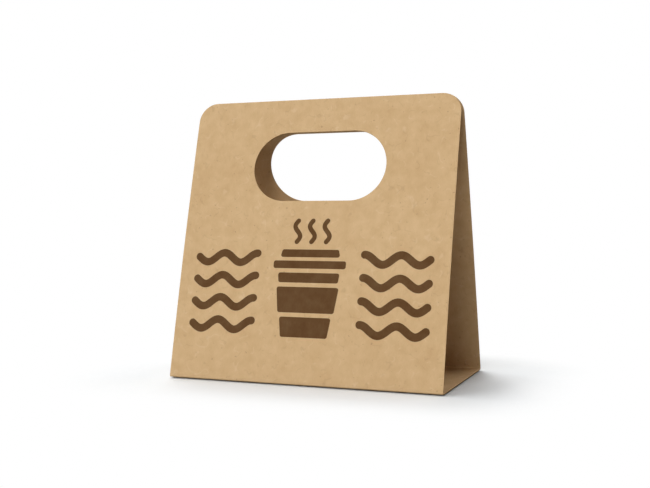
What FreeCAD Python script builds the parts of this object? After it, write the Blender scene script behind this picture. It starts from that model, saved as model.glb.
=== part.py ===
"""Cup carrier folded from one sheet of kraft board, like a small tent that is open at both ends.

The floor lies flat between two creases. A panel rises from each crease, leans inwards, bows out a
little on the way and meets the other panel at the top edge. Each panel has rounded top corners and
a long hand hole, and the floor has two round cup holes side by side.

The cup holes set the floor: with these sizes it is 200 mm long and 105 mm deep, and the folded
carrier stands 198 mm tall.

Millimetres. X runs along the creases, Y from the front panel to the back panel, Z up. The origin
is the middle of the floor's underside.
"""
import FreeCAD, Part
import math
import os
import Sketcher

NODE = "carrier_sheet"

# name, value in mm, what it is
SIZES = [
    ("cup_hole_diameter", 78.0, "a tapered cup drops in until its wall wedges"),
    ("cup_hole_web", 14.0, "board between the cup holes, so that two cup rims pass"),
    ("end_rim", 15.0, "board between a cup hole and the open end"),
    ("crease_rim", 13.5, "board between a cup hole and the outside of a crease"),
    ("board_thickness", 0.6, "kraft board"),
    ("panel_length", 203.5, "straight from the end of the crease to the top edge"),
    ("crease_radius", 0.5, "inside radius of a folded crease"),
    ("top_gap", 0.4, "between the panels' inner faces at the top edge"),
    ("panel_bow", 1.3, "how far a panel stands out from its straight line"),
    ("corner_radius", 14.0, "rounded top corners of a panel"),
    ("hand_hole_length", 100.0, "hand hole, end to end"),
    ("hand_hole_height", 51.0, "hand hole, also the diameter of its round ends"),
    ("hand_strip", 25.0, "board between a hand hole and the top edge"),
]
SIZE = {name: value for name, value, _ in SIZES}

# points and axes as a sketch's constraints number them
FIRST, LAST, CENTRE = 1, 2, 3
HORIZONTAL, VERTICAL = -1, -2
ORIGIN = (HORIZONTAL, FIRST)


def size_sheet(doc):
    """The driving dimensions, one named cell each."""
    sheet = doc.addObject("Spreadsheet::Sheet", "sizes")
    for row, (name, value, note) in enumerate(SIZES, start=1):
        sheet.set(f"A{row}", name)
        sheet.set(f"B{row}", str(value))
        sheet.setAlias(f"B{row}", name)
        sheet.set(f"C{row}", note)


def cells(expression):
    """An expression with its names in braces, turned into one that reads the sheet's cells."""
    return expression.format(**{name: f"<<sizes>>.{name}" for name in SIZE})


def origin_plane(body, role):
    return next(item for item in body.Origin.OriginFeatures if item.Role == role)


def sketch_on(body, role, name):
    """A new sketch on one of the body's own origin planes."""
    sketch = body.newObject("Sketcher::SketchObject", name)
    sketch.AttachmentSupport = [(origin_plane(body, role), "")]
    sketch.MapMode = "FlatFace"
    return sketch


def constrain(sketch, *rules):
    for rule in rules:
        sketch.addConstraint(Sketcher.Constraint(*rule))


def dimension(sketch, name, expression, *rule):
    """A driving dimension, bound to the sheet."""
    sketch.renameConstraint(sketch.addConstraint(Sketcher.Constraint(*rule)), name)
    sketch.setExpression(f"Constraints.{name}", cells(expression))


def reading(sketch, name, *rule):
    """A dimension that the sketch works out, for other features to read."""
    index = sketch.addConstraint(Sketcher.Constraint(*rule))
    sketch.setDriving(index, False)
    sketch.renameConstraint(index, name)


def polar(centre, distance, angle):
    return centre + FreeCAD.Vector(math.cos(angle), math.sin(angle)) * distance


def arc(centre, radius, start, end):
    return Part.ArcOfCircle(Part.Circle(centre, FreeCAD.Vector(0, 0, 1), radius), start, end)


def folded_profile(body):
    """Half of the folded section: from the middle of the floor to the back panel's top edge."""
    thickness, crease = SIZE["board_thickness"], SIZE["crease_radius"]
    length, bow = SIZE["panel_length"], SIZE["panel_bow"]
    half_depth = SIZE["cup_hole_diameter"] / 2 + SIZE["crease_rim"]

    # the sketch is drawn where its constraints will hold it, as (y, z)
    fold = FreeCAD.Vector(half_depth - crease - thickness, crease + thickness)
    radius = length ** 2 / (8 * bow) + bow / 2
    half_turn = math.asin(length / (2 * radius))
    lean = math.asin((fold.x + crease - SIZE["top_gap"] / 2) / length)
    floor_end, panel_start, panel_end = -math.pi / 2, lean - half_turn, lean + half_turn
    bow_centre = polar(fold, crease - radius, panel_start)
    under, above = FreeCAD.Vector(0, 0), FreeCAD.Vector(0, thickness)
    foot = polar(fold, crease, panel_start)
    top_inner = polar(bow_centre, radius, panel_end)
    top_outer = polar(bow_centre, radius + thickness, panel_end)

    sketch = sketch_on(body, "YZ_Plane", "FoldedProfile")
    floor_out = sketch.addGeometry(Part.LineSegment(under, FreeCAD.Vector(fold.x, 0)))
    fold_out = sketch.addGeometry(arc(fold, crease + thickness, floor_end, panel_start))
    panel_out = sketch.addGeometry(arc(bow_centre, radius + thickness, panel_start, panel_end))
    top_edge = sketch.addGeometry(Part.LineSegment(top_outer, top_inner))
    panel_in = sketch.addGeometry(arc(bow_centre, radius, panel_start, panel_end))
    fold_in = sketch.addGeometry(arc(fold, crease, floor_end, panel_start))
    floor_in = sketch.addGeometry(Part.LineSegment(FreeCAD.Vector(fold.x, thickness), above))
    middle = sketch.addGeometry(Part.LineSegment(above, under))
    chord = sketch.addGeometry(Part.LineSegment(foot, top_inner), True)

    constrain(
        sketch,
        ("Coincident", floor_out, FIRST, *ORIGIN),
        ("Horizontal", floor_out),
        ("Horizontal", floor_in),
        ("PointOnObject", floor_in, LAST, VERTICAL),
        ("Coincident", floor_in, LAST, middle, FIRST),
        ("Coincident", middle, LAST, floor_out, FIRST),
        ("Tangent", floor_out, LAST, fold_out, FIRST),
        ("Tangent", fold_out, LAST, panel_out, FIRST),
        ("Coincident", panel_out, LAST, top_edge, FIRST),
        ("Perpendicular", top_edge, panel_out),
        ("Coincident", top_edge, LAST, panel_in, LAST),
        ("Tangent", panel_in, FIRST, fold_in, LAST),
        ("Tangent", fold_in, FIRST, floor_in, FIRST),
        ("Coincident", fold_in, CENTRE, fold_out, CENTRE),
        ("Coincident", panel_in, CENTRE, panel_out, CENTRE),
        ("Coincident", chord, FIRST, panel_in, FIRST),
        ("Coincident", chord, LAST, panel_in, LAST),
    )
    dimension(sketch, "thickness", "{board_thickness}",
              "DistanceY", middle, LAST, middle, FIRST, thickness)
    dimension(sketch, "crease", "{crease_radius}", "Radius", fold_in, crease)
    dimension(sketch, "crease_place",
              "{cup_hole_diameter} / 2 + {crease_rim} - {crease_radius} - {board_thickness}",
              "DistanceX", *ORIGIN, fold_in, CENTRE, fold.x)
    dimension(sketch, "length", "{panel_length}", "Distance", chord, length)
    dimension(sketch, "bow", "{panel_length} * {panel_length} / (8 * {panel_bow}) + {panel_bow} / 2",
              "Radius", panel_in, radius)
    dimension(sketch, "half_gap", "{top_gap} / 2",
              "DistanceX", *ORIGIN, panel_in, LAST, top_inner.x)
    reading(sketch, "top_height", "DistanceY", *ORIGIN, panel_in, LAST, top_inner.y)
    reading(sketch, "lean", "Angle", VERTICAL, FIRST, chord, FIRST, lean)
    return sketch


def hand_hole_outline(body, profile):
    """A slot with round ends, drawn in the leaning back panel. Its origin is on the top edge."""
    length, height = SIZE["hand_hole_length"], SIZE["hand_hole_height"]
    end, middle = (length - height) / 2, -SIZE["hand_strip"] - height / 2
    left, right = FreeCAD.Vector(-end, middle), FreeCAD.Vector(end, middle)
    rise = FreeCAD.Vector(0, height / 2)

    sketch = sketch_on(body, "XZ_Plane", "HandHoleOutline")
    sketch.AttachmentOffset = FreeCAD.Placement(
        FreeCAD.Vector(), FreeCAD.Rotation(FreeCAD.Vector(1, 0, 0), 1))
    sketch.setExpression("AttachmentOffset.Base.y", f"{profile.Name}.Constraints.top_height")
    sketch.setExpression("AttachmentOffset.Base.z", cells("-{top_gap} / 2"))
    sketch.setExpression("AttachmentOffset.Rotation.Angle", f"{profile.Name}.Constraints.lean")

    top = sketch.addGeometry(Part.LineSegment(right + rise, left + rise))
    round_left = sketch.addGeometry(arc(left, height / 2, math.pi / 2, 3 * math.pi / 2))
    bottom = sketch.addGeometry(Part.LineSegment(left - rise, right - rise))
    round_right = sketch.addGeometry(arc(right, height / 2, -math.pi / 2, math.pi / 2))
    constrain(
        sketch,
        ("Tangent", top, LAST, round_left, FIRST),
        ("Tangent", round_left, LAST, bottom, FIRST),
        ("Tangent", bottom, LAST, round_right, FIRST),
        ("Tangent", round_right, LAST, top, FIRST),
        ("Equal", round_left, round_right),
        ("Symmetric", round_left, CENTRE, round_right, CENTRE, VERTICAL),
    )
    dimension(sketch, "round_end", "{hand_hole_height} / 2", "Radius", round_left, height / 2)
    dimension(sketch, "centres", "{hand_hole_length} - {hand_hole_height}",
              "DistanceX", round_left, CENTRE, round_right, CENTRE, 2 * end)
    dimension(sketch, "strip", "{hand_strip}", "DistanceY", top, FIRST, *ORIGIN, SIZE["hand_strip"])
    return sketch


def cup_hole_outlines(body):
    """Two circles side by side on the floor."""
    radius = SIZE["cup_hole_diameter"] / 2
    out = radius + SIZE["cup_hole_web"] / 2
    normal = FreeCAD.Vector(0, 0, 1)

    sketch = sketch_on(body, "XY_Plane", "CupHoleOutlines")
    left = sketch.addGeometry(Part.Circle(FreeCAD.Vector(-out, 0), normal, radius))
    right = sketch.addGeometry(Part.Circle(FreeCAD.Vector(out, 0), normal, radius))
    constrain(
        sketch,
        ("Symmetric", left, CENTRE, right, CENTRE, *ORIGIN),
        ("PointOnObject", right, CENTRE, HORIZONTAL),
        ("Equal", left, right),
    )
    dimension(sketch, "diameter", "{cup_hole_diameter}", "Diameter", right, 2 * radius)
    dimension(sketch, "spacing", "{cup_hole_diameter} + {cup_hole_web}",
              "DistanceX", left, CENTRE, right, CENTRE, 2 * out)
    return sketch


def top_corner_edges(shape):
    """The two short edges, one at each end of the top edge, where the sheet has square corners."""
    slack = 2 * SIZE["board_thickness"]
    top = shape.BoundBox.ZMax - slack
    return [f"Edge{number}" for number, edge in enumerate(shape.Edges, start=1)
            if edge.BoundBox.ZMin > top and edge.BoundBox.XLength < slack]


def carrier(doc):
    """The sheet as one body: half of it folded, pierced and rounded, then mirrored to the front."""
    body = doc.addObject("PartDesign::Body", "Carrier")
    body.Label = NODE
    thickness = SIZE["board_thickness"]

    profile = folded_profile(body)
    half = body.newObject("PartDesign::Pad", "BackHalf")
    half.Profile = profile
    half.SideType = "Symmetric"
    half.setExpression("Length", cells("2 * ({cup_hole_diameter} + {end_rim}) + {cup_hole_web}"))
    doc.recompute()

    outline = hand_hole_outline(body, profile)
    hand_hole = body.newObject("PartDesign::Pocket", "HandHole")
    hand_hole.Profile = outline
    hand_hole.SideType = "Symmetric"
    hand_hole.Type = "ThroughAll"
    doc.recompute()
    check_cut(half, hand_hole, Part.Face(Part.Wire(outline.Shape.Edges)).Area * thickness)

    corners = body.newObject("PartDesign::Fillet", "TopCorners")
    corners.Base = (hand_hole, top_corner_edges(hand_hole.Shape))
    corners.setExpression("Radius", cells("{corner_radius}"))
    doc.recompute()

    sheet = body.newObject("PartDesign::Mirrored", "FrontHalf")
    sheet.TransformMode = "Whole shape"
    sheet.MirrorPlane = (origin_plane(body, "XZ_Plane"), [""])
    body.Tip = sheet
    doc.recompute()

    circles = cup_hole_outlines(body)
    cup_holes = body.newObject("PartDesign::Pocket", "CupHoles")
    cup_holes.Profile = circles
    cup_holes.Reversed = True
    cup_holes.setExpression("Length", cells("2 * {board_thickness}"))
    doc.recompute()
    check_cut(sheet, cup_holes, 2 * math.pi * (SIZE["cup_hole_diameter"] / 2) ** 2 * thickness)
    return body


def check_cut(before, after, expected):
    """A pocket that points away from the board cuts nothing and says nothing."""
    removed = before.Shape.Volume - after.Shape.Volume
    if abs(removed - expected) > expected / 100:
        raise RuntimeError(f"{after.Name} removed {removed:.1f} mm3, not {expected:.1f} mm3")


def check(doc, body):
    """Nothing is written unless every feature worked and the board is one sound solid."""
    for item in doc.Objects:
        if {"Invalid", "Error"} & set(item.State):
            raise RuntimeError(f"{item.Name} failed: {item.State}")
    shape = body.Shape
    if shape.isNull() or not shape.isValid() or len(shape.Solids) != 1:
        raise RuntimeError(f"{body.Label} is not one valid solid")


def main():
    doc = FreeCAD.newDocument("cup_carrier")
    size_sheet(doc)
    doc.recompute()
    body = carrier(doc)
    check(doc, body)
    os.makedirs("parts", exist_ok=True)
    body.Shape.exportStep(f"parts/{body.Label}.step")
    print(f"{body.Label}: {body.Shape.Volume / 1000:.2f} cm3, {body.Shape.BoundBox}")


main()
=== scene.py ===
# %% [markdown]
# A folded cup carrier in kraft board
#
# This lesson dresses a takeaway cup carrier: one sheet of brown board, cut by a steel die, printed
# on one side and folded along two creases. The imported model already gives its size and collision.
# Here the same sheet is drawn flat, as the die cuts it, then folded by a Geometry Nodes rule, and
# given the mottled, slightly furry look of kraft board.

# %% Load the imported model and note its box
import math

import bpy
import numpy as np
from mathutils import Matrix, Vector
from mathutils.geometry import delaunay_2d_cdt


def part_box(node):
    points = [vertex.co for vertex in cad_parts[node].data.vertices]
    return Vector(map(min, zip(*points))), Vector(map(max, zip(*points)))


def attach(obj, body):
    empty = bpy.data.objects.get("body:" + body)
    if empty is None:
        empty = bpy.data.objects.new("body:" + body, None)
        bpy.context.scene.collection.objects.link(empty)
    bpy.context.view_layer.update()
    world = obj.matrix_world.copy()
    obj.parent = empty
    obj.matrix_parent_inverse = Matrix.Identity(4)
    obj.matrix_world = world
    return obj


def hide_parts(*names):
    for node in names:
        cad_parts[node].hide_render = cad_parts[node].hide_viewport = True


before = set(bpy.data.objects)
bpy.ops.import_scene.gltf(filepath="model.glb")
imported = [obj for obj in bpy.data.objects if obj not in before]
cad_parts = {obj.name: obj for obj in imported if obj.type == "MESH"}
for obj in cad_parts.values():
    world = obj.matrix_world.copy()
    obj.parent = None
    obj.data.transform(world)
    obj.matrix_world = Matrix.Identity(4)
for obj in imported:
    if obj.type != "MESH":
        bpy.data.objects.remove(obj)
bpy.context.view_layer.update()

NODE = "carrier_sheet"
low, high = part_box(NODE)
WIDTH, DEPTH, HEIGHT = [(b - a) * 1000 for a, b in zip(low, high)]
print(f"the folded carrier is {WIDTH:.1f} x {DEPTH:.1f} x {HEIGHT:.1f} mm")

# %% [markdown]
# The sizes of the sheet
#
# A carton maker works from a drawing of the flat sheet. The numbers below are the same driving
# sizes as in the solid model. A folded board keeps its length along the middle of its thickness, so
# the flat length of each part is measured on that middle line.

# %% Sizes of the sheet, in millimetres
BOARD = 0.6  # board thickness
CREASE = 0.5  # inside radius of a fold
PANEL = 203.5  # straight from a fold to the top edge
BOW = 1.3  # how far a panel stands out from that straight line
TOP_GAP = 0.4  # between the panels' inner faces at the top
CORNER = 14.0  # radius of the top corners
HAND_LENGTH, HAND_HEIGHT, HAND_STRIP = 100.0, 51.0, 25.0  # the strip is left above the hand hole
CUP_HOLE, CUP_WEB = 78.0, 14.0  # the web is left between the two cup holes

half_floor = DEPTH / 2 - CREASE - BOARD
panel_radius = PANEL ** 2 / (8 * BOW) + BOW / 2
half_turn = math.asin(PANEL / (2 * panel_radius))
lean = math.asin((half_floor + CREASE - TOP_GAP / 2) / PANEL)
crease_turn = math.pi / 2 + lean - half_turn
crease_length = (CREASE + BOARD / 2) * crease_turn
panel_foot = half_floor + crease_length
half_sheet = panel_foot + (panel_radius + BOARD / 2) * 2 * half_turn
print(f"the flat sheet is {WIDTH:.1f} x {2 * half_sheet:.1f} mm, a fold uses {crease_length:.2f} mm")

# %% [markdown]
# Closed outlines
#
# The die and the printing plate are both made of closed outlines. A few helpers draw them all: one
# rounds the corners of a polygon, which also makes a slot when the rounding is half its height, and
# one gives a wavy line its width and round ends. Points are (along the creases, along the sheet).

# %% Helpers for closed outlines
def arc(centre, spoke, turn, pieces):
    """Points that a spoke passes while it turns around a centre."""
    points = []
    for i in range(pieces + 1):
        c, s = math.cos(turn * i / pieces), math.sin(turn * i / pieces)
        points.append((centre.x + c * spoke.x - s * spoke.y, centre.y + s * spoke.x + c * spoke.y))
    return points


def circle(x, y, radius, pieces=96):
    """A full circle, without its first point twice."""
    return arc(Vector((x, y)), Vector((radius, 0)), math.tau, pieces)[:-1]


def rectangle(x, y, width, height):
    """The corners of an upright rectangle around its centre, anticlockwise."""
    w, h = width / 2, height / 2
    return [(x - w, y - h), (x + w, y - h), (x + w, y + h), (x - w, y + h)]


def rounded(corners, radius, step=math.radians(6)):
    """A convex polygon, given anticlockwise, with an arc in place of each corner."""
    points = []
    for before, corner, after in zip(corners[-1:] + corners[:-1], corners, corners[1:] + corners[:1]):
        coming = (Vector(corner) - Vector(before)).normalized()
        going = (Vector(after) - Vector(corner)).normalized()
        turn = coming.angle(going)
        start = Vector(corner) - coming * radius * math.tan(turn / 2)
        centre = start + Vector((-coming.y, coming.x)) * radius
        points += arc(centre, start - centre, turn, max(1, math.ceil(turn / step)))
    return points


def band(line, width, end_pieces=10):
    """A line with a width and round ends, as one closed outline."""
    line = [Vector(point) for point in line]
    aims = [(b - a).normalized() for a, b in zip(line, line[1:])]
    aims = [aims[0]] + [(a + b).normalized() for a, b in zip(aims, aims[1:])] + [aims[-1]]
    spokes = [Vector((aim.y, -aim.x)) * width / 2 for aim in aims]
    right = [tuple(point + spoke) for point, spoke in zip(line, spokes)]
    left = [tuple(point - spoke) for point, spoke in zip(line, spokes)]
    end = arc(line[-1], spokes[-1], math.pi, end_pieces)[1:-1]
    start = arc(line[0], -spokes[0], math.pi, end_pieces)[1:-1]
    return right + end + left[::-1] + start


def divided(loop, longest):
    """The same loop with extra points, so that no piece of it is longer than asked."""
    points = []
    for a, b in zip(loop, loop[1:] + loop[:1]):
        pieces = max(1, math.ceil(math.dist(a, b) / longest))
        for i in range(pieces):
            points.append((a[0] + (b[0] - a[0]) * i / pieces, a[1] + (b[1] - a[1]) * i / pieces))
    return points

# %% [markdown]
# The cutting die
#
# A die is a plywood board with steel rules bent to the outline of the sheet and of its holes. It
# cuts the rounded sheet, one hand hole in each panel and two round cup holes in the floor between
# them, all in one stroke. An outline inside another one is a hole.

# %% The outlines that the die cuts
hand_place = half_sheet - HAND_STRIP - HAND_HEIGHT / 2
cup_place = (CUP_HOLE + CUP_WEB) / 2
die = [rounded(rectangle(0, 0, WIDTH, 2 * half_sheet), CORNER)]
for side in (-1, 1):
    die.append(rounded(rectangle(0, side * hand_place, HAND_LENGTH, HAND_HEIGHT), HAND_HEIGHT / 2))
    die.append(circle(side * cup_place, 0, CUP_HOLE / 2))
print(f"the die has {len(die)} outlines")

# %% [markdown]
# The printing plate
#
# One dark brown ink is printed on the outer side before the board is cut. Both panels carry the
# same plain design: a takeaway cup with steam in the middle and wavy bands beside it. It is drawn
# upright in millimetres from the middle of the panel's foot, then turned onto each panel. Drawing
# it as outlines keeps its edges sharp at any distance, which a small texture would not.

# %% The printed cup and its steam
CUP_ROUNDING = 1.6
STEAM_THICKNESS, STEAM_SWAY = 3.4, 2.1
STEAM_FOOT, STEAM_HEIGHT = 98, 15

cup_blocks = [
    [(-17.2, 31), (17.2, 31), (19.2, 45), (-19.2, 45)],
    [(-20.8, 48), (20.8, 48), (23.2, 66), (-23.2, 66)],
    [(-22.1, 69), (22.1, 69), (23.0, 76), (-23.0, 76)],
    [(-27.0, 79), (27.0, 79), (27.0, 84.5), (-27.0, 84.5)],
    [(-22.4, 87), (22.4, 87), (21.0, 92.5), (-21.0, 92.5)],
]
plate = [rounded(block, CUP_ROUNDING) for block in cup_blocks]

for x in (-11, 0, 11):
    curl = [(x + STEAM_SWAY * math.sin(math.tau * (y - STEAM_FOOT) / STEAM_HEIGHT), y)
            for y in np.linspace(STEAM_FOOT, STEAM_FOOT + STEAM_HEIGHT, 17)]
    plate.append(band(curl, STEAM_THICKNESS))
print(f"{len(cup_blocks)} blocks and {len(plate) - len(cup_blocks)} curls of steam make the cup")

# %% The wavy bands, and the design on both panels
WAVE_THICKNESS, WAVE_HEIGHT, WAVE_LENGTH = 5.6, 3.4, 26.0
WAVE_START, WAVE_END = 40, 86  # from the middle of the panel, a point on every millimetre

for y in (38, 54, 70, 86):
    for side in (-1, 1):
        wave = [(side * x, y + WAVE_HEIGHT * math.cos(math.tau * (x - WAVE_START) / WAVE_LENGTH))
                for x in np.linspace(WAVE_START, WAVE_END, WAVE_END - WAVE_START + 1)]
        plate.append(band(wave, WAVE_THICKNESS))

ink_front = [[(x, -panel_foot - y) for x, y in loop] for loop in plate]
ink_back = [[(-x, panel_foot + y) for x, y in loop] for loop in plate]
ink = ink_front + ink_back
print(f"each panel is printed with {len(plate)} shapes")

# %% [markdown]
# From outlines to a flat mesh
#
# A board could be made with a grid and Boolean cuts, but cuts leave ragged faces. A constrained
# triangulation takes all outlines as fixed edges and fills the space between them with neat
# triangles. A loose grid of points keeps them small enough to bend, and close rows of points
# follow each fold. A triangle belongs to the sheet when its middle lies inside an odd number of
# the die's outlines, and it is inked when it lies inside an odd number of the plate's.

# %% Points, edges and triangles of the flat sheet
GRID = 5.0  # spacing of the loose points
ROW = 0.12  # spacing of the rows along a fold
ROW_MARGIN = 1.2  # how far the rows go on past a fold
CLEAR = 2.2  # a loose point nearer than this to an outline is left out
SAME_POINT = 1e-5  # points nearer to each other than this are one

points, edges = [], []
for loop in die + ink:
    first = len(points)
    points += divided(loop, GRID)
    ring = range(first, len(points))
    edges += zip(ring, [*ring[1:], first])

outline_points = np.array(points)
across = np.linspace(-WIDTH / 2, WIDTH / 2, round(WIDTH / GRID) + 1)
along = np.linspace(-half_sheet, half_sheet, round(2 * half_sheet / GRID) + 1)
for v in along[1:-1]:
    near_fold = half_floor - ROW_MARGIN - CLEAR < abs(v) < panel_foot + ROW_MARGIN + CLEAR
    for u in across[1:-1]:
        gap = np.hypot(*(outline_points - (u, v)).T).min()
        if gap > CLEAR and not near_fold:
            points.append((u, v))

rows = np.arange(half_floor - ROW_MARGIN, panel_foot + ROW_MARGIN, ROW)
row_across = np.linspace(-WIDTH / 2 - GRID, WIDTH / 2 + GRID, len(across) + 2)
for v in [*-rows, *rows]:
    first = len(points)
    points += [(u, v) for u in row_across]
    edges += [(i, i + 1) for i in range(first, len(points) - 1)]

found = delaunay_2d_cdt([Vector(point) for point in points], edges, [], 0, SAME_POINT)
flat_points = np.array([tuple(point) for point in found[0]])
triangles = np.array(found[2])
print(f"{len(points)} points give {len(triangles)} triangles")

# %% Sort the triangles into board, holes and print
def odd_count(places, loops):
    """Whether each place lies inside an odd number of the loops."""
    odd = np.zeros(len(places), bool)
    x, y = places.T
    for loop in loops:
        for (ax, ay), (bx, by) in zip(loop, loop[1:] + loop[:1]):
            if ay != by:
                odd ^= ((y < ay) != (y < by)) & (x < ax + (bx - ax) * (y - ay) / (by - ay))
    return odd


middles = flat_points[triangles].mean(axis=1)
board = odd_count(middles, die)
triangles, middles = triangles[board], middles[board]
inked = odd_count(middles, ink)
print(f"{len(triangles)} triangles are board, {inked.sum()} of them printed")

# %% [markdown]
# Thickness and cut edges
#
# The board is 0.6 mm thick, so the flat mesh is made twice: an outer layer at the bottom and an
# inner layer above it, joined around every cut. Each face notes whether it is ink or cut edge, for
# the material. A UV map keeps the flat sheet's own coordinates in metres, so that the paper's
# fibres run on around the folds. The inner side reads another part of the pattern.

# %% The board as a flat slab, in millimetres
used, flat = np.unique(triangles, return_inverse=True)
flat = flat.reshape(-1, 3).tolist()
sheet = flat_points[used]
count = len(sheet)
sides = {(a, b) for tri in flat for a, b in zip(tri, tri[1:] + tri[:1])}
rim = sorted(edge for edge in sides if edge[::-1] not in sides)
outer = [tri[::-1] for tri in flat]
inner = [[i + count for i in tri] for tri in flat]
walls = [[a, b, b + count, a + count] for a, b in rim]

vertices = [(u, v, 0.0) for u, v in sheet] + [(u, v, BOARD) for u, v in sheet]
blank = bpy.data.meshes.new("cup_carrier")
blank.from_pydata(vertices, [], outer + inner + walls)
for face in blank.polygons[-len(walls):]:
    face.use_smooth = True
carrier = bpy.data.objects.new("cup_carrier", blank)
bpy.context.scene.collection.objects.link(carrier)
print(f"the slab has {len(blank.vertices)} points and {len(rim)} rim edges")

# %% Mark the ink and the cut edges, and lay the pattern on the slab
INNER_SHIFT = 0.6  # metres from the outer side's place in the pattern to the inner side's

is_ink = np.zeros(len(blank.polygons), np.float32)
is_ink[:len(outer)] = inked
is_cut = np.zeros(len(blank.polygons), np.float32)
is_cut[-len(walls):] = 1
blank.attributes.new("ink", "FLOAT", "FACE").data.foreach_set("value", is_ink)
blank.attributes.new("cut_edge", "FLOAT", "FACE").data.foreach_set("value", is_cut)

# The height in the board is added to both coordinates, or the cut edge would have no width there
places = np.array(vertices)
pattern = (places[:, :2] + places[:, 2:]) / 1000
uv = pattern[[loop.vertex_index for loop in blank.loops]]
inner_start, wall_start = 3 * len(outer), 3 * (len(outer) + len(inner))
uv[inner_start:wall_start, 0] += INNER_SHIFT
blank.uv_layers.new(name="blank").data.foreach_set("uv", uv.astype(np.float32).ravel())
print(f"{int(is_ink.sum())} faces are ink and {int(is_cut.sum())} are cut edge")

# %% [markdown]
# One small function for nodes
#
# Geometry Nodes and materials are both trees of nodes. This function adds one node with its
# settings, then fills its inputs: a node or a socket is linked, anything else is a plain value.
# Inputs without a name of their own go by number: a colour Mix has its share at 0 and its colours
# at 6 and 7, and a Map Range turns the range from 1 to 2 into the range from 3 to 4.

# %% Add a node
def add(tree, kind, inputs=(), **settings):
    """Add a node with its settings and inputs, which are a list in order or a dictionary."""
    node = tree.nodes.new(kind)
    for name, value in settings.items():
        setattr(node, name, value)
    for key, value in inputs.items() if isinstance(inputs, dict) else enumerate(inputs):
        if isinstance(value, bpy.types.Node):
            value = next(output for output in value.outputs if output.enabled)
        if isinstance(value, bpy.types.NodeSocket):
            tree.links.new(value, node.inputs[key])
        else:
            node.inputs[key].default_value = value
    return node

# %% [markdown]
# Kraft board
#
# Kraft board is made of unbleached wood fibres, pressed and dried, with no coating. That gives a
# matt, warm brown face. Close up it is cloudy, because the fibres settle unevenly, with a faint run
# of fibre along the way the paper machine went, short curled hairs, paler and darker than the rest,
# and a few dark flecks of bark. A scan could show all this, but a few noises mixed together never
# repeat or blur. All sizes below are real ones, apart from the fibres and hairs, which are drawn
# several times too wide, because they would not show at all.

# %% Kraft board, uncoated, printed with one ink
def linear(code):
    """A colour written as sRGB hex, such as CCAC82, as linear red, green, blue and alpha."""
    parts = [int(code[i:i + 2], 16) / 255 for i in (0, 2, 4)]
    return (*[c / 12.92 if c <= 0.04045 else ((c + 0.055) / 1.055) ** 2.4 for c in parts], 1)


DARK_BOARD, PALE_BOARD = linear("A9804E"), linear("E7CA9E")
kraft = bpy.data.materials.new("uncoated_kraft_board")
kraft.use_nodes = True
tree = kraft.node_tree
tree.nodes.clear()
place = add(tree, "ShaderNodeUVMap", uv_map="blank")
print("pale brown in linear light:", [round(part, 3) for part in PALE_BOARD[:3]])

# %% Patterns of the board, by real size in millimetres
CLOUD, BLOTCH, FLOCK, GRAIN = 60, 13, 6.2, 1.1
FIBRE_LENGTH, FIBRE_WIDTH = 6.0, 0.7
PALE_CURL, DARK_CURL, TUFT, FLECK = 11.0, 9.0, 6.0, 2.6
SHIFT = 0.37  # metres; each pattern starts this much further along, so that no two are alike

noises = {}
for name, length, width, turn, detail in [
    ("cloud", CLOUD, CLOUD, 0, 1),
    ("blotch", BLOTCH, BLOTCH, 0, 2),
    ("flock", FLOCK, FLOCK, 0, 2),
    ("grain", GRAIN, GRAIN, 0, 1),
    ("fibre_along", FIBRE_LENGTH, FIBRE_WIDTH, 90, 1),
    ("fibre_left", FIBRE_LENGTH, FIBRE_WIDTH, 55, 1),
    ("fibre_right", FIBRE_LENGTH, FIBRE_WIDTH, 130, 1),
    ("pale_curl", PALE_CURL, PALE_CURL, 0, 1),
    ("pale_tuft", TUFT, TUFT, 0, 0),
    ("dark_curl", DARK_CURL, DARK_CURL, 0, 1),
    ("dark_tuft", TUFT, TUFT, 0, 0),
    ("fleck", FLECK, FLECK, 0, 1),
]:
    laid = add(tree, "ShaderNodeMapping",
               [place, (SHIFT * len(noises), 0, 0), (0, 0, math.radians(turn)),
                (length / 1000, width / 1000, 1)], vector_type="TEXTURE")
    noises[name] = add(tree, "ShaderNodeTexNoise", {"Vector": laid, "Scale": 1.0, "Detail": detail},
                       noise_dimensions="2D", label=name)
print(f"{len(noises)} patterns make up the board")

# %% Mix them into the colour of the board, halfway between dark and pale on average
SHARES = {"cloud": 0.10, "blotch": 0.20, "flock": 0.20, "grain": 0.04,
          "fibre_along": 0.07, "fibre_left": 0.05, "fibre_right": 0.05}

tone = 0.5 - sum(SHARES.values()) / 2
for name, share in SHARES.items():
    tone = add(tree, "ShaderNodeMath", [noises[name], share, tone], operation="MULTIPLY_ADD")
board_colour = add(tree, "ShaderNodeMix", {0: tone, 6: DARK_BOARD, 7: PALE_BOARD}, data_type="RGBA")
print(f"the tone mixes {len(SHARES)} of them")

# %% [markdown]
# Hairs, flecks and cut edges
#
# Loose fibres lie on the board as curled hairs, and specks of bark were left in the pulp. Each hair
# could be a curve of its own, but there are thousands. A soft noise does it in one: where it crosses
# its middle value it draws a thin curled line, and a second noise shows only short tufts of it. A
# fleck is the very top of a fine noise. The die crushes the fibres, so a cut edge is a bit darker.

# %% Curled hairs and flecks of bark
HAIRS = [("pale_curl", "pale_tuft", 0.13, "F0DDBB"), ("dark_curl", "dark_tuft", 0.15, "86603B")]
HAIR_CORE, HAIR_EDGE = 0.004, 0.036  # off the noise's middle value: where a hair is full, and ends
TUFT_START, TUFT_FULL = 0.58, 0.70
FLECK_START, FLECK_FULL, FLECK_SHARE = 0.77, 0.83, 0.32

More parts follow.
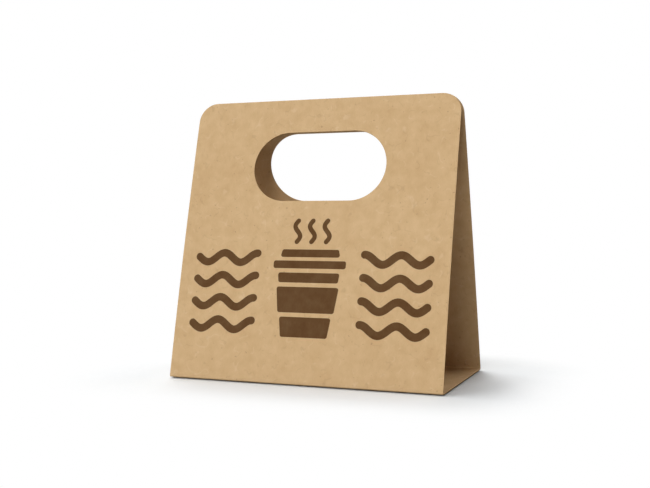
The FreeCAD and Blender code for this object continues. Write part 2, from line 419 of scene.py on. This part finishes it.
haired = board_colour
for curl, tuft, share, code in HAIRS:
    off_middle = add(tree, "ShaderNodeMath", [noises[curl], 0.5], operation="SUBTRACT")
    off_line = add(tree, "ShaderNodeMath", [off_middle], operation="ABSOLUTE")
    hair_line = add(tree, "ShaderNodeMapRange",
                    {0: off_line, 1: HAIR_CORE, 2: HAIR_EDGE, 3: share, 4: 0.0})
    hair_place = add(tree, "ShaderNodeMapRange", {0: noises[tuft], 1: TUFT_START, 2: TUFT_FULL})
    hair = add(tree, "ShaderNodeMath", [hair_line, hair_place], operation="MULTIPLY")
    haired = add(tree, "ShaderNodeMix", {0: hair, 6: haired, 7: linear(code)}, data_type="RGBA")
fleck = add(tree, "ShaderNodeMapRange",
            {0: noises["fleck"], 1: FLECK_START, 2: FLECK_FULL, 3: 0.0, 4: FLECK_SHARE})
flecked = add(tree, "ShaderNodeMix", {0: fleck, 6: haired, 7: linear("7A5634")}, data_type="RGBA")
print(f"{len(HAIRS)} kinds of hair and one of fleck lie in it")

# %% The cut edge
cut_edge = add(tree, "ShaderNodeAttribute", attribute_name="cut_edge")
edged = add(tree, "ShaderNodeMix", {0: cut_edge.outputs["Fac"], 6: flecked, 7: linear("B8925F")},
            data_type="RGBA")
print("cut edges are a shade darker")

# %% [markdown]
# Ink and surface
#
# The ink could come from a texture, but whole faces carry it here, so its edges follow the plate's
# outlines. It soaks into the fibres, so it stays matt, and is slightly thinner where the board is
# pale. Uncoated board has hardly any gloss: a high roughness, less mirror light than plastic, and a
# low bump from the fibres and the finest grain.

# %% Ink over the board, and the surface itself
INK_TONES, INK_DENSITIES = (0.40, 0.64), (1.0, 0.92)  # over dark board and over pale board
FUZZ_STRENGTH, FUZZ_HEIGHT = 0.35, 0.12  # the height is in millimetres

ink_place = add(tree, "ShaderNodeAttribute", attribute_name="ink")
ink_density = add(tree, "ShaderNodeMapRange", [tone, *INK_TONES, *INK_DENSITIES])
ink_share = add(tree, "ShaderNodeMath", [ink_place.outputs["Fac"], ink_density], operation="MULTIPLY")
coloured = add(tree, "ShaderNodeMix", {0: ink_share, 6: edged, 7: linear("533410")}, data_type="RGBA")

fibres = add(tree, "ShaderNodeMath", [noises["fibre_along"], noises["grain"]], operation="ADD")
bump = add(tree, "ShaderNodeBump",
           {"Strength": FUZZ_STRENGTH, "Distance": FUZZ_HEIGHT / 1000, "Height": fibres})
surface = add(tree, "ShaderNodeBsdfPrincipled",
              {"Base Color": coloured, "Roughness": 0.9, "IOR": 1.5,
               "Specular IOR Level": 0.35, "Normal": bump})
add(tree, "ShaderNodeOutputMaterial", {"Surface": surface})
print(f"kraft board is made of {len(tree.nodes)} nodes")

# %% [markdown]
# The fold as a rule
#
# The flat sheet could be bent by hand or by an armature, but a fold is an exact rule, so Geometry
# Nodes can do it for every point. Going out from the middle of the sheet, the floor stays flat, the
# crease turns round a small circle, and the panel follows a very large one, because folded board
# bows slightly. Pressing the crease leaves a soft bead inside it. A faint noise keeps the panels
# from being perfect, and fades to nothing at the folds and at the top, where the panels meet. The
# pull of the panels lifts the folds nearly a millimetre off the table, and the floor's open ends a
# little less, which shows as a thin dark line under them. One more rule raises those, and fades out
# up the panels.

# %% The inputs of the fold, in millimetres, with turns in radians
FOLD_SIZES = {
    "Half floor": half_floor, "Crease radius": CREASE, "Board": BOARD, "Crease turn": crease_turn,
    "Panel radius": panel_radius, "Panel length": half_sheet - panel_foot,
    "Bead height": 0.22, "Bead width": 0.7, "Warp height": 0.35, "Warp size": 90.0, "Warp seed": 7.0,
    "Half width": WIDTH / 2, "Fold lift": 0.90, "End lift": 0.72, "Lift width": 8.0,
}
fold = bpy.data.node_groups.new("fold_the_sheet", "GeometryNodeTree")
fold.interface.new_socket("Geometry", in_out="INPUT", socket_type="NodeSocketGeometry")
fold.interface.new_socket("Geometry", in_out="OUTPUT", socket_type="NodeSocketGeometry")
for name in FOLD_SIZES:
    fold.interface.new_socket(name, in_out="INPUT", socket_type="NodeSocketFloat")
fold.interface.new_socket("Material", in_out="INPUT", socket_type="NodeSocketMaterial")

given = add(fold, "NodeGroupInput").outputs
spot = add(fold, "ShaderNodeSeparateXYZ", [add(fold, "GeometryNodeInputPosition")]).outputs
front_or_back = add(fold, "ShaderNodeMath", [spot["Y"]], operation="SIGN")
out = add(fold, "ShaderNodeMath", [spot["Y"]], operation="ABSOLUTE")
past = add(fold, "ShaderNodeMath", [out, given["Half floor"]], operation="SUBTRACT")
print(f"the fold has {len(FOLD_SIZES)} sizes as inputs")

# %% How far a point has turned
middle = add(fold, "ShaderNodeMath", [given["Board"], 0.5, given["Crease radius"]],
             operation="MULTIPLY_ADD")
crease_arc = add(fold, "ShaderNodeMath", [middle, given["Crease turn"]], operation="MULTIPLY")
free_turn = add(fold, "ShaderNodeMath", [past, middle], operation="DIVIDE")
turned = add(fold, "ShaderNodeClamp", [free_turn, 0.0, given["Crease turn"]])
beyond = add(fold, "ShaderNodeMath", [past, crease_arc], operation="SUBTRACT")
up_panel = add(fold, "ShaderNodeMath", [beyond, 0.0], operation="MAXIMUM")
panel_share = add(fold, "ShaderNodeMath", [up_panel, given["Panel length"]], operation="DIVIDE")
panel_middle = add(fold, "ShaderNodeMath", [given["Board"], 0.5, given["Panel radius"]],
                   operation="MULTIPLY_ADD")
bowed = add(fold, "ShaderNodeMath", [up_panel, panel_middle], operation="DIVIDE")
angle = add(fold, "ShaderNodeMath", [turned, bowed], operation="ADD")
print(f"a crease turns {math.degrees(crease_turn):.1f} degrees")

# %% The bead in the crease, a bell curve across it on the inner side
crease_middle = add(fold, "ShaderNodeMath", [crease_arc, 0.5], operation="MULTIPLY")
from_bead = add(fold, "ShaderNodeMath", [past, crease_middle], operation="SUBTRACT")
in_widths = add(fold, "ShaderNodeMath", [from_bead, given["Bead width"]], operation="DIVIDE")
squared = add(fold, "ShaderNodeMath", [in_widths, 2.0], operation="POWER")
falling = add(fold, "ShaderNodeMath", [squared, -1.0], operation="MULTIPLY")
bell = add(fold, "ShaderNodeMath", [falling], operation="EXPONENT")
inward = add(fold, "ShaderNodeMath", [spot["Z"], given["Board"]], operation="DIVIDE")
bead_height = add(fold, "ShaderNodeMath", [given["Bead height"], inward], operation="MULTIPLY")
bead = add(fold, "ShaderNodeMath", [bell, bead_height], operation="MULTIPLY")
print(f"the bead is {FOLD_SIZES['Bead height']} mm high")

# %% The faint warp of the panels
WARP_RISE, WARP_FALL = (0.03, 0.4), (0.97, 0.6)  # shares of the panel: from no warp to all of it

spread = add(fold, "ShaderNodeMath", [1.0, given["Warp size"]], operation="DIVIDE")
flat_place = add(fold, "ShaderNodeCombineXYZ", [spot["X"], spot["Y"], 0.0])
warp_noise = add(fold, "ShaderNodeTexNoise", {"Vector": flat_place, "W": given["Warp seed"],
                                              "Scale": spread, "Detail": 1.0}, noise_dimensions="4D")
warp_centred = add(fold, "ShaderNodeMath", [warp_noise, 0.5], operation="SUBTRACT")
rise = add(fold, "ShaderNodeMapRange", [panel_share, *WARP_RISE], interpolation_type="SMOOTHSTEP")
fall = add(fold, "ShaderNodeMapRange", [panel_share, *WARP_FALL], interpolation_type="SMOOTHSTEP")
mask = add(fold, "ShaderNodeMath", [rise, fall], operation="MULTIPLY")
warp_height = add(fold, "ShaderNodeMath", [mask, given["Warp height"]], operation="MULTIPLY")
warp = add(fold, "ShaderNodeMath", [warp_centred, warp_height], operation="MULTIPLY")
beaded = add(fold, "ShaderNodeMath", [spot["Z"], bead], operation="ADD")
level = add(fold, "ShaderNodeMath", [beaded, warp], operation="ADD")
print(f"the panels warp over about {FOLD_SIZES['Warp size']:.0f} mm")

# %% The lift of the folds and of the open ends
from_middle = add(fold, "ShaderNodeMath", [spot["X"]], operation="ABSOLUTE")
end_start = add(fold, "ShaderNodeMath", [given["Half width"], given["Lift width"]],
                operation="SUBTRACT")
end_rise = add(fold, "ShaderNodeMapRange", [from_middle, end_start, given["Half width"]],
               interpolation_type="SMOOTHSTEP")
fold_start = add(fold, "ShaderNodeMath", [given["Half floor"], given["Lift width"]],
                 operation="SUBTRACT")
fold_rise = add(fold, "ShaderNodeMapRange", [out, fold_start, given["Half floor"]],
                interpolation_type="SMOOTHSTEP")
end_lift = add(fold, "ShaderNodeMath", [end_rise, given["End lift"]], operation="MULTIPLY")
fold_lift = add(fold, "ShaderNodeMath", [fold_rise, given["Fold lift"]], operation="MULTIPLY")
edge_lift = add(fold, "ShaderNodeMath", [end_lift, fold_lift], operation="MAXIMUM")
down_panel = add(fold, "ShaderNodeMath", [1.0, panel_share], operation="SUBTRACT")
lift = add(fold, "ShaderNodeMath", [edge_lift, down_panel], operation="MULTIPLY")
print(f"the folds are lifted {FOLD_SIZES['Fold lift']} mm and the ends {FOLD_SIZES['End lift']} mm")

# %% Where the point ends up
inner_side = add(fold, "ShaderNodeMath", [given["Crease radius"], given["Board"]], operation="ADD")
reach = add(fold, "ShaderNodeMath", [inner_side, level], operation="SUBTRACT")
growth = add(fold, "ShaderNodeMath", [given["Panel radius"], given["Crease radius"]],
             operation="SUBTRACT")
on_floor = add(fold, "ShaderNodeMath", [out, given["Half floor"]], operation="MINIMUM")
sin_all = add(fold, "ShaderNodeMath", [angle], operation="SINE")
sin_crease = add(fold, "ShaderNodeMath", [turned], operation="SINE")
cos_all = add(fold, "ShaderNodeMath", [angle], operation="COSINE")
cos_crease = add(fold, "ShaderNodeMath", [turned], operation="COSINE")
sin_growth = add(fold, "ShaderNodeMath", [sin_all, sin_crease], operation="SUBTRACT")
cos_growth = add(fold, "ShaderNodeMath", [cos_crease, cos_all], operation="SUBTRACT")
y_crease = add(fold, "ShaderNodeMath", [reach, sin_all, on_floor], operation="MULTIPLY_ADD")
y_out = add(fold, "ShaderNodeMath", [growth, sin_growth, y_crease], operation="MULTIPLY_ADD")
y_place = add(fold, "ShaderNodeMath", [y_out, front_or_back], operation="MULTIPLY")
z_drop = add(fold, "ShaderNodeMath", [reach, cos_all], operation="MULTIPLY")
z_crease = add(fold, "ShaderNodeMath", [inner_side, z_drop], operation="SUBTRACT")
z_fold = add(fold, "ShaderNodeMath", [growth, cos_growth, z_crease], operation="MULTIPLY_ADD")
z_place = add(fold, "ShaderNodeMath", [z_fold, lift], operation="ADD")
folded = add(fold, "ShaderNodeCombineXYZ", [spot["X"], y_place, z_place])
metres = add(fold, "ShaderNodeVectorMath", {0: folded, "Scale": 0.001}, operation="SCALE")
moved = add(fold, "GeometryNodeSetPosition", {"Geometry": given["Geometry"], "Position": metres})
real = add(fold, "GeometryNodeRealizeInstances", [moved])
dressed = add(fold, "GeometryNodeSetMaterial", {"Geometry": real, "Material": given["Material"]})
add(fold, "NodeGroupOutput", [dressed])
print(f"the fold is made of {len(fold.nodes)} nodes")

# %% [markdown]
# Fold the sheet
#
# A die leaves a slightly rounded edge on soft board, so a Bevel of a tenth of a millimetre comes
# first, while the sheet is still flat and its edges are square. It works in millimetres, because
# such a bevel is too fine for Blender in metres. The fold then turns millimetres into metres, and
# the result is kept as a plain mesh.

# %% Bevel, fold and keep the mesh
CUT_ROUNDING = 0.1  # millimetres
SQUARE, SHARP = math.radians(60), math.radians(20)  # bevelled, and shaded as sharp, from this turn

bevel = carrier.modifiers.new("rounded_cut", "BEVEL")
bevel.width = CUT_ROUNDING
bevel.segments = 2
bevel.limit_method = "ANGLE"
bevel.angle_limit = SQUARE

folding = carrier.modifiers.new("fold", "NODES")
folding.node_group = fold
for socket in fold.interface.items_tree:
    if socket.in_out == "INPUT" and socket.name in FOLD_SIZES:
        folding[socket.identifier] = FOLD_SIZES[socket.name]
    if socket.name == "Material":
        folding[socket.identifier] = kraft

depsgraph = bpy.context.evaluated_depsgraph_get()
carrier_mesh = bpy.data.meshes.new_from_object(carrier.evaluated_get(depsgraph), depsgraph=depsgraph,
                                               preserve_all_data_layers=True)
carrier.modifiers.clear()
carrier.data = carrier_mesh
carrier_mesh.set_sharp_from_angle(angle=SHARP)
points_now = np.array([vertex.co for vertex in carrier_mesh.vertices]) * 1000
size_now = points_now.max(axis=0) - points_now.min(axis=0)
print(f"folded: {len(carrier_mesh.vertices)} points, size {size_now.round(2)} mm,"
      f" lowest point {points_now[:, 2].min():.3f} mm")

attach(carrier, "root")
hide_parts(NODE)

# %% [markdown]
# The studio floor
#
# The carrier stands on a flat white studio floor that runs out to a white background, in place of a
# curved paper sweep. Near the carrier the floor takes real light and keeps the soft shadow beside and
# under it. A few centimetres further out the camera sees a painted white glow instead of the lit
# floor, which paints out the far ends of the shadows. The eye sees it almost white, but it throws
# less light back up than it seems to, so that the carrier's inside stays as dim as it is in the
# photograph.

# %% Which rays see the white studio
def seen_directly(tree):
    """1 for a ray from the camera, a mirror or glass, and 0 for a ray that only carries light."""
    rays = add(tree, "ShaderNodeLightPath").outputs
    mirrored = add(tree, "ShaderNodeMath", [rays["Is Glossy Ray"], rays["Is Transmission Ray"]],
                   operation="MAXIMUM")
    return add(tree, "ShaderNodeMath", [rays["Is Camera Ray"], mirrored], operation="MAXIMUM")

# %% The floor
FLOOR_REACH = 30.0
SEEN_FLOOR, LIGHTING_FLOOR = linear("E1E3E4"), linear("A0A0A0")
FADE_START, FADE_END = 0.020, 0.085  # metres out from the carrier's foot

floor_mesh = bpy.data.meshes.new("studio_floor")
floor_mesh.from_pydata([(x, y, 0) for x, y in rectangle(0, 0, 2 * FLOOR_REACH, 2 * FLOOR_REACH)],
                       [], [(0, 1, 2, 3)])
floor = bpy.data.objects.new("studio_floor", floor_mesh)
bpy.context.scene.collection.objects.link(floor)
white = bpy.data.materials.new("matt_white_studio_floor")
floor_mesh.materials.append(white)
print(f"the floor reaches {FLOOR_REACH:.0f} m each way")

# %% Its white, and the painted white glow that hides the far shadows
white.use_nodes = True
paper = white.node_tree
paper.nodes.clear()
seen = seen_directly(paper)
floor_colour = add(paper, "ShaderNodeMix", {0: seen, 6: LIGHTING_FLOOR, 7: SEEN_FLOOR},
                   data_type="RGBA")
floor_face = add(paper, "ShaderNodeBsdfDiffuse", [floor_colour])

# Painted light: from FADE_START outwards the camera sees a white glow mixed over the lit floor, which
# paints out the far ends of the carrier's shadows.
floor_place = add(paper, "ShaderNodeTexCoord").outputs["Object"]
both_sides = add(paper, "ShaderNodeVectorMath", [floor_place], operation="ABSOLUTE")
from_foot = add(paper, "ShaderNodeVectorMath", [both_sides, (WIDTH / 2000, DEPTH / 2000, 0)],
                operation="SUBTRACT")
outside = add(paper, "ShaderNodeVectorMath", [from_foot, (0, 0, 0)], operation="MAXIMUM")
distance = add(paper, "ShaderNodeVectorMath", [outside], operation="LENGTH")
far_shadow_painted_white = add(paper, "ShaderNodeMapRange", [distance, FADE_START, FADE_END],
           interpolation_type="SMOOTHSTEP")
seen_painted_white = add(paper, "ShaderNodeMath", [far_shadow_painted_white, seen], operation="MULTIPLY")
background = add(paper, "ShaderNodeEmission", [(1, 1, 1, 1), 1.0])
floor_look = add(paper, "ShaderNodeMixShader", [seen_painted_white, floor_face, background])
add(paper, "ShaderNodeOutputMaterial", {"Surface": floor_look})
print(f"the floor is white from {FADE_END * 1000:.0f} mm out")

# %% [markdown]
# The light
#
# Soft light comes from large panels: in front as from a window, high on the left and behind, and
# weakly on the right. A panel close by would light the near side more, so each one is a Sun lamp:
# it is as strong everywhere, and its angle makes the shadows soft. The sky around looks white, but
# gives almost no light, because light from all sides would wash the shadows out.

# %% The sky, white to the eye but almost no light
SKY_STRENGTH = 0.01
sky = bpy.data.worlds.new("white_studio")
bpy.context.scene.world = sky
sky.use_nodes = True
sky.node_tree.nodes.clear()
sky_strength = add(sky.node_tree, "ShaderNodeMix",
                   {0: seen_directly(sky.node_tree), 2: SKY_STRENGTH, 3: 1.0})
sky_light = add(sky.node_tree, "ShaderNodeBackground",
                {"Color": (1, 1, 1, 1), "Strength": sky_strength})
add(sky.node_tree, "ShaderNodeOutputWorld", {"Surface": sky_light})
print(f"the sky lights the board at {SKY_STRENGTH}")

# %% The soft lights
# Compass side in degrees, 0 in front and -90 at the left; height in degrees; strength; softness
SOFT_LIGHTS = {
    "window_softbox": (0, 35, 1.33, 25),
    "left_window_softbox": (-35, 41, 0.37, 26),
    "front_softbox": (-44, 13, 1.33, 41),
    "left_overhead_softbox": (-100, 66, 0.97, 28),
    "back_overhead_softbox": (-148, 63, 1.68, 26),
    "back_softbox": (180, 35, 0.14, 40),
    "right_back_softbox": (135, 45, 0.43, 40),
}
for name, (compass, height, strength, softness) in SOFT_LIGHTS.items():
    lamp = bpy.data.objects.new(name, bpy.data.lights.new(name, "SUN"))
    lamp.data.energy = strength
    lamp.data.angle = math.radians(softness)
    compass, height = math.radians(compass), math.radians(height)
    away = Vector((math.sin(compass) * math.cos(height), -math.cos(compass) * math.cos(height),
                   math.sin(height)))
    lamp.rotation_euler = away.to_track_quat("Z", "Y").to_euler()
    bpy.context.scene.collection.objects.link(lamp)
print(f"{len(SOFT_LIGHTS)} soft lights")

# %% [markdown]
# The camera
#
# A picture's perspective comes from where the camera stands, and only its size from the lens. So
# the place, the turns and the lens were matched together to the carrier's edges in the photograph:
# in front and to the right, a little above the carrier's middle, looking slightly down.

# %% The camera at the photograph's place
CAMERA_PLACE = (0.26465, -0.66232, 0.12345)
TURN_RIGHT, TILT_UP, ROLL = -0.38202, -0.04091, -0.00672  # radians
LENS = 54.97  # millimetres

camera = bpy.data.objects.new("camera", bpy.data.cameras.new("camera"))
camera.data.lens = LENS
camera.matrix_world = (Matrix.Translation(CAMERA_PLACE)
                       @ Matrix.Rotation(-TURN_RIGHT, 4, "Z")
                       @ Matrix.Rotation(math.pi / 2 + TILT_UP, 4, "X")
                       @ Matrix.Rotation(ROLL, 4, "Z"))
bpy.context.scene.collection.objects.link(camera)
bpy.context.scene.camera = camera
print(f"the camera stands {camera.matrix_world.translation.length * 1000:.0f} mm from the carrier")

# %% [markdown]
# Finish
#
# The picture is shown with the plain Standard view, so that colours come out as they are written.

# %% The view, and the end
bpy.context.scene.view_settings.view_transform = "Standard"
